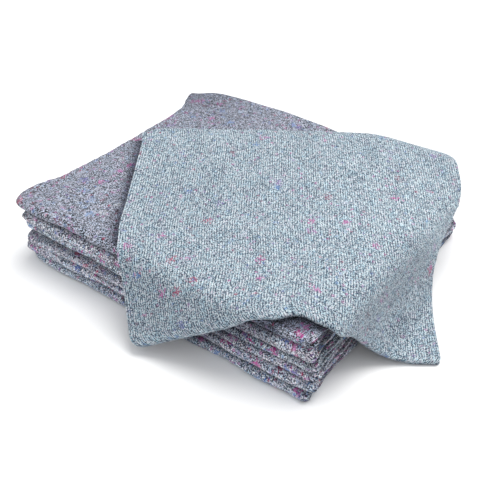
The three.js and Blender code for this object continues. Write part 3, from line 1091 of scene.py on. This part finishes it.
@dataclass
class DrapedBlanket:
    """The blanket laid askew on top: two plies joined by a fold at its front edge.

    Its rounds are at its front left, front right, back right and back left corners. The
    tuck and the upper tuck pull its left edge in, the bow pushes its back edge out, and the
    bells push its front edge out or in.
    """

    stack: Stack
    finish: Felt
    # Patches of painted shade, and of painted light where a share is below 0.
    patches: tuple[PaintedPatch, ...]
    width: float = 510.0
    depth: float = 430.0
    corner: Pair = (-223.0, 18.0)
    turn: float = 32.2
    front_skew: float = 16.0
    skew_pivot: float = 0.6
    right_skew: float = 5.0
    ply: float = 3.6
    gap: float = 1.4
    lift: float = 3.3
    front_loft: float = 2.2
    loft_run: float = 60.0
    rounds: Four = (22.0, 8.0, 14.0, 4.0)
    bow: Four = (22.0, 35.0, 190.0, 200.0)
    tuck: Triple = (11.0, 190.0, 440.0)
    upper_tuck: tuple[float, Ramp, Ramp] = (6.2, (-20.0, 60.0), (185.0, 80.0))
    bow_from: float = 300.0
    bells: tuple[Triple, ...] = (
        (200.0, 26.0, -5.0), (255.0, 24.0, -13.0), (322.0, 28.0, 13.0))
    lower_short: float = 7.0
    fold_space: float = 9.0
    fold_margin: float = 3.0
    fold_steps: int = 14
    near: Edge = Edge(-215.0, 27.0, 64.0, 150.0, 14.0)
    right: Edge = Edge(251.5, 25.0, 85.0, 62.0)
    far: Edge = Edge(226.0, 60.0, 26.0)
    across_steps: int = 150
    upper_steps: int = 125
    lower_steps: int = 60
    probe: float = 2.0
    ripples: tuple[Ripple, ...] = (Ripple(71, 150.0, 0.55), Ripple(72, 55.0, 0.22))
    edge_lift: float = 4.2
    edge_lift_run: float = 42.0
    # Painted shade on this blanket and the felt round it.
    painted_shading: PaintedDrapeShade = PaintedDrapeShade()

    @property
    def thick(self) -> float:
        """Both plies and the gap between them."""
        return 2 * self.ply + self.gap

    def on_plan(self, across: Array, along: Array) -> tuple[Array, Array]:
        """Where flat places would lie on the stack's plan if nothing bent down."""
        x, y = turned(across, -along, self.turn)
        return self.corner[0] + x, self.corner[1] + y

    def flat_at(self, x: Array, y: Array) -> tuple[Array, Array]:
        """The flat place, across and along, that lies over a place of the stack's top."""
        across, back = turned(x - self.corner[0], y - self.corner[1], -self.turn)
        return across, -back

    def face(self, across: Array, along: Array) -> Array:
        """The outer face at flat places: on the stack's top, bent down over its edges.

        Args:
            across: Distances from the left edge.
            along: Distances from the back edge.

        Returns:
            The points, in the stack's plan.
        """
        flat_x, flat_y = self.on_plan(across, along)
        rest_x = np.clip(flat_x, -self.stack.length / 2, self.right.at)
        rest_y = np.clip(flat_y, self.near.at, self.far.at)
        loft = self.front_loft * rise(along, self.depth - self.loft_run, self.loft_run)
        under = self.stack.level(len(self.stack.tiers), rest_x, rest_y) + self.lift
        near_out, near_down = self.near.bend(np.maximum(self.near.at - flat_y, 0), under)
        right_out, right_down = self.right.bend(np.maximum(flat_x - self.right.at, 0), under)
        far_out, far_down = self.far.bend(np.maximum(flat_y - self.far.at, 0), under)
        x = rest_x + np.minimum(flat_x - rest_x, 0) + right_out
        return np.stack([x, rest_y - near_out + far_out,
                         under + self.thick + loft - near_down - right_down - far_down], -1)

    def section(self) -> Section:
        """The lower ply from the back to the front, the fold, and the upper ply back again."""
        low = np.linspace(self.lower_short, self.depth - self.fold_space, self.lower_steps)
        upper_h = self.thick - self.ply / 2
        sag = self.front_loft * rise(low, self.depth - self.loft_run, self.loft_run)
        radius = (upper_h - (self.ply / 2 - self.front_loft)) / 2
        fold = self.depth - radius - self.ply / 2
        high = np.linspace(fold - self.fold_margin, 0.0, self.upper_steps)
        return Section.join([
            Section.level(low, self.ply / 2 - sag, 1.0),
            Section.turn((fold, upper_h - radius), radius, -90, 90, self.fold_steps, True),
            Section.level(high, upper_h, -1.0)])

    def front_bow(self, across: Array, along: Array) -> Array:
        """How far the front edge is pushed out: bells across it that grow towards it."""
        reach = sum(height * hill(across, at, half) for at, half, height in self.bells)
        return reach * rise(along, self.bow_from, self.depth - self.bow_from)

    def left_edge(self, along: Array) -> Array:
        """How far in the left edge is: the tuck as a squared sine, and the upper tuck.

        Args:
            along: Distances from the back edge.

        Returns:
            Distances to the right.
        """
        deep, start, end = self.tuck
        share = np.clip((along - start) / (end - start), 0, 1)
        upper, inward, outward = self.upper_tuck
        return (deep * np.sin(np.pi * share) ** 2
                + upper * rise(along, *inward) * fall(along, *outward))

    def front_edge(self, across: Array) -> Array:
        """How far from the back the front edge is."""
        return (self.depth + self.front_bow(across, np.full(across.shape, self.depth))
                + self.front_skew * (self.skew_pivot - across / self.width))

    def place(self, share: Array, along: Array, h: Array) -> Array:
        """Where points of the blanket lie, h above its underside and square to its face.

        Args:
            share: How far across, from 0 at the left edge to 1 at the right.
            along: Distances from the back edge.
            h: Heights across both plies.

        Returns:
            The points, in the stack's plan, none below the floor.
        """
        front_left, front_right, back_right, back_left = self.rounds
        to_front = self.depth - along
        left = (corner_inset(front_left, to_front) + corner_inset(back_left, along)
                + self.left_edge(along))
        right = (corner_inset(front_right, to_front) + corner_inset(back_right, along)
                 + self.right_skew * to_front / self.depth)
        across = left + share * (self.width - left - right)
        reach, left_run, right_run, fade = self.bow
        bow = (reach * rise(across, 0.0, left_run) * rise(self.width - across, 0.0, right_run)
               * fall(along, 0.0, fade))
        skew = self.front_skew / self.depth * (self.skew_pivot - across / self.width)
        flat = along * (1 + skew) - bow + self.front_bow(across, along)
        point = self.face(across, flat)
        one_way = self.face(across + self.probe, flat) - self.face(across - self.probe, flat)
        other = self.face(across, flat + self.probe) - self.face(across, flat - self.probe)
        normal = np.cross(other, one_way)
        normal /= np.linalg.norm(normal, axis=-1, keepdims=True)
        out = sum(ripple.at(across, flat) for ripple in self.ripples)
        out = out + self.edge_lift * fall(across, 0.0, self.edge_lift_run) ** 2
        point = point + normal * (h - self.thick + out)[..., None]
        point[..., 2] = np.maximum(point[..., 2], 0.0)
        return point

    def beside(self, x: Array, y: Array) -> Array:
        """The shadow painted on the felt below, close to this blanket's left and front edges.

        Args:
            x: Places along the stack's length.
            y: Places along its width.

        Returns:
            Shares from 0 to 1.
        """
        painted, (across, along) = self.painted_shading, self.flat_at(x, y)
        past_left = np.minimum(across - self.left_edge(along) + painted.overlap, 0.0)
        past_front = np.maximum(along - self.front_edge(across) + painted.overlap, 0.0)
        start, run = painted.end_fade
        left = (painted.beside * hill(past_left, 0.0, painted.beside_half)
                * rise(along, start, run) * fall(along, self.depth, run))
        ahead = (painted.ahead * hill(past_front, 0.0, painted.ahead_half)
                 * rise(across, *painted.ahead_across) * rise(along, *painted.ahead_along))
        return np.maximum(left, ahead)

    def below(self, x: Array, z: Array) -> Array:
        """The shade painted on the stack's near side just below this blanket's hanging front fold.

        The fold's height there is worked out from how far it hangs past the near edge.

        Args:
            x: Places along the stack's length.
            z: Heights above the floor.

        Returns:
            Shares from 0 to 1.
        """
        painted, turn = self.painted_shading, math.radians(self.turn)
        across = (x - self.corner[0] - self.depth * math.sin(turn)) / math.cos(turn)
        hangs = np.maximum(self.near.at - self.on_plan(across, self.depth)[1], 0.0)
        fold = painted.fold_height - hangs * math.sin(math.radians(self.near.slope))
        return (painted.below * hill(np.maximum(fold - z, 0.0), 0.0, painted.below_half)
                * rise(across, *painted.below_across) * rise(hangs, *painted.below_hanging))

    def _shade(self, share: Array, section: Section) -> Array:
        """Painted shade on the felt: where it hangs over the near and right edges, and underneath.

        Args:
            share: How far across, stations by 1.
            section: The felt's section.

        Returns:
            Shares from 0 to 1, by station and section point.
        """
        painted = self.painted_shading
        across, along = np.broadcast_arrays(share * self.width, section.s)
        flat_x, flat_y = self.on_plan(across, along)
        past_right = flat_x - self.right.at
        hang = painted.hang * rise(self.near.at - flat_y, *painted.hang_fade)
        side = (painted.side * rise(past_right, *painted.side_start) * fall(past_right, *painted.side_end)
                * rise(along, *painted.side_along))
        under = painted.under * fall(section.h / self.thick, *painted.under_fade)
        patches = sum(patch.over(across, along) for patch in self.patches)
        # An even base share of painted shade, painted shade where the blanket hangs and underneath,
        # and painted patches of shade and light.
        return np.clip(painted.base + hang + side + patches + under, 0.0, MOST_PAINTED_SHADE)

    def build(self) -> bpy.types.Object:
        """Makes the blanket, dresses it and has it stand for its solid.

        Returns:
            The finished piece.
        """
        section, share = self.section(), np.linspace(0.0, 1.0, self.across_steps)[:, None]
        faces = []
        for half in (self.ply / 2, -self.ply / 2):
            along = np.broadcast_to(section.s + section.out_s * half,
                                    (self.across_steps, len(section.s)))
            h = np.broadcast_to(section.h + section.out_h * half, along.shape)
            faces.append(self.stack.placed(self.place(share, along, h)))
        run = section.run()
        felt = FeltMesh(*faces, share[:, 0] * self.width, run, self.ply, seed=600)
        felt.shade = self._shade(share, section)
        piece = felt.build("draped_felt")
        dress(piece, self.finish, "draped_blanket")
        self.width * MM
        return piece


# ---------------------------------------------------------------- studio


@dataclass(frozen=True)
class Studio:
    """The floor, the soft light and the camera at the photograph's viewing angle."""

    azimuth: float = 35.0
    elevation: float = 38.6
    distance: float = 1.357
    target: Triple = (-0.0432, -0.0001, 0.0)
    focal_pixels: float = 850.0
    frame_pixels: float = 489.0
    sensor: float = 36.0
    floor_size: float = 9.0
    sky: float = 0.875
    sun: float = 2.07
    sun_from: Triple = (0.08, 0.34, 0.93)
    sun_softness: float = 40.0
    sky_colour: Colour = (0.97, 0.985, 1.0)
    sun_colour: Colour = (1.0, 0.99, 0.97)
    floor_drop: float = 0.0004
    clip: Pair = (0.05, 50.0)

    def floor(self) -> bpy.types.Object:
        """A large level square just under the stack."""
        half, z = self.floor_size / 2, -self.floor_drop
        mesh = bpy.data.meshes.new("floor")
        mesh.from_pydata([(-half, -half, z), (half, -half, z), (half, half, z), (-half, half, z)],
                         [], [(0, 1, 2, 3)])
        mesh.materials.append(PaleFloor().material())
        floor = added("floor", mesh)
        return floor

    def lights(self) -> None:
        """An even pale sky, and one broad soft light high on the far right."""
        world = bpy.data.worlds.new("studio_sky")
        world.use_nodes = True
        sky = world.node_tree.nodes["Background"]
        sky.inputs["Color"].default_value = (*self.sky_colour, 1.0)
        sky.inputs["Strength"].default_value = self.sky
        bpy.context.scene.world = world
        sun = bpy.data.lights.new("soft_key", "SUN")
        sun.energy = self.sun
        sun.angle = math.radians(self.sun_softness)
        sun.color = self.sun_colour
        lamp = added("soft_key", sun)
        lamp.rotation_mode = "QUATERNION"
        lamp.rotation_quaternion = Vector(self.sun_from).to_track_quat("Z", "Y")

    def camera(self) -> bpy.types.Object:
        """The camera, aimed at the stack's middle from the photograph's side."""
        a, e = math.radians(self.azimuth), math.radians(self.elevation)
        back = Vector((math.sin(a) * math.cos(e), -math.cos(a) * math.cos(e), math.sin(e)))
        lens = bpy.data.cameras.new("camera")
        lens.sensor_width = self.sensor
        lens.lens = self.focal_pixels / self.frame_pixels * self.sensor
        lens.clip_start, lens.clip_end = self.clip
        camera = added("camera", lens)
        camera.rotation_mode = "QUATERNION"
        camera.location = Vector(self.target) + back * self.distance
        camera.rotation_quaternion = back.to_track_quat("Z", "Y")
        bpy.context.scene.camera = camera
        return camera

    def build(self) -> None:
        """Sets up the studio with plain colours."""
        bpy.context.scene.view_settings.view_transform = "Standard"
        self.camera()
        self.lights()
        self.floor()


# ---------------------------------------------------------------- everything


DRAPE_SHADES = ((0.036, 0.056, 0.086), (0.184, 0.246, 0.304), (0.324, 0.414, 0.472),
                (0.500, 0.598, 0.640), (0.74, 0.82, 0.84))
STITCHED = Felt("stitched_felt", DRAPE_SHADES, 0.0, clumps=0.030, flecks=0.055,
                surface=Surface.STITCHED, contrast=0.82, variety=0.9, dye=0.66)
SHADE_STEPS = ((0.10, 0.0), (0.50, 0.0), (0.98, 0.0), (1.65, 0.03), (2.45, 0.10))
PALEST = 0.92


def needled(name: str, tint: Colour, place: float, clumps: float, flecks: float,
            variety: float = 1.0, dye: float = 0.92) -> Felt:
    """A needled felt in shades of one tint.

    Args:
        name: The record's material slot.
        tint: The felt's mean colour.
        place: Where in the pattern it is cut from, in metres.
        clumps: Share of large coloured clumps.
        flecks: Share of small coloured flecks.
        variety: How strong its bluer and rosier patches are.
        dye: How strong the colour of its clumps and flecks is.

    Returns:
        The finish.
    """
    shades = tuple(tuple(min(channel * step + lift, PALEST) for channel in tint)
                   for step, lift in SHADE_STEPS)
    return Felt(name, shades, place, clumps, flecks, contrast=2.0, variety=variety, dye=dye)


TIER_FINISHES = (
    needled("felt_blue_grey", (0.318, 0.408, 0.575), 7.3, 0.12, 0.16),
    needled("felt_slate", (0.348, 0.390, 0.540), 13.1, 0.13, 0.15),
    needled("felt_mauve", (0.350, 0.374, 0.512), 21.7, 0.13, 0.15, 1.0, 0.82),
    needled("felt_dusk", (0.300, 0.346, 0.460), 31.9, 0.10, 0.14, 1.0, 0.82),
    needled("felt_plum", (0.325, 0.342, 0.455), 43.3, 0.14, 0.16, 1.0, 0.82),
    needled("felt_lilac_grey", (0.232, 0.250, 0.300), 57.9, 0.10, 0.12, 0.75, 0.75))

GROOVES = (
    Groove(5, (392.0, 13.0), (478.0, 7.5), 2.6, 2.0),
    Groove(4, (330.0, 6.0), (420.0, 9.5), 1.6, 1.8),
    Groove(2, (395.0, 5.5), (470.0, 9.0), 1.8, 1.8),
    Groove(1, (90.0, 10.0), (190.0, 8.0), 1.3, 1.8),
    Groove(3, (60.0, 7.0), (150.0, 10.0), 1.4, 1.8))

RECESSES = ((5.0, 1.0, 6.0, 0.0), (0.0, 5.0, 1.0, 6.0), (6.0, 0.0, 5.5, 1.5),
            (1.0, 7.5, 0.0, 6.5), (7.0, 0.5, 8.0, 0.0), (6.5, 0.0, 8.0, 0.0))

# Painted shade at the top blanket's far left corner and along its left end, and painted light at
# its near right corner.
TOP_PAINTED_PATCHES = (
    PaintedPatch((-222.0, 205.0), (75.0, 75.0), 0.32),
    PaintedPatch((-262.0, 60.0), (24.0, 190.0), 0.22),
    PaintedPatch((235.0, -200.0), (90.0, 60.0), -0.22))

# Painted light over the draped blanket's right half and ridge, and painted shade on its left side.
DRAPE_PAINTED_PATCHES = (
    PaintedPatch((405.0, 165.0), (95.0, 95.0), -0.10),
    PaintedPatch((330.0, 260.0), (110.0, 110.0), -0.06),
    PaintedPatch((60.0, 150.0), (130.0, 170.0), 0.06))


def main() -> None:
    """Builds the studio and the blankets in order, and reports each piece."""
    logging.basicConfig(level=logging.INFO, format="%(message)s")
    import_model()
    Studio().build()
    stack = Stack()
    draped = DrapedBlanket(stack, STITCHED, DRAPE_PAINTED_PATCHES)
    folded = [FoldedBlanket(stack, number, finish, draped, recess, GROOVES, TOP_PAINTED_PATCHES)
              for number, (finish, recess) in enumerate(zip(TIER_FINISHES, RECESSES))]
    for blanket in (*folded, draped):
        piece = blanket.build()
        log.info("%s: %d faces", piece.name, len(piece.data.polygons))


if __name__ == "__main__":
    main()
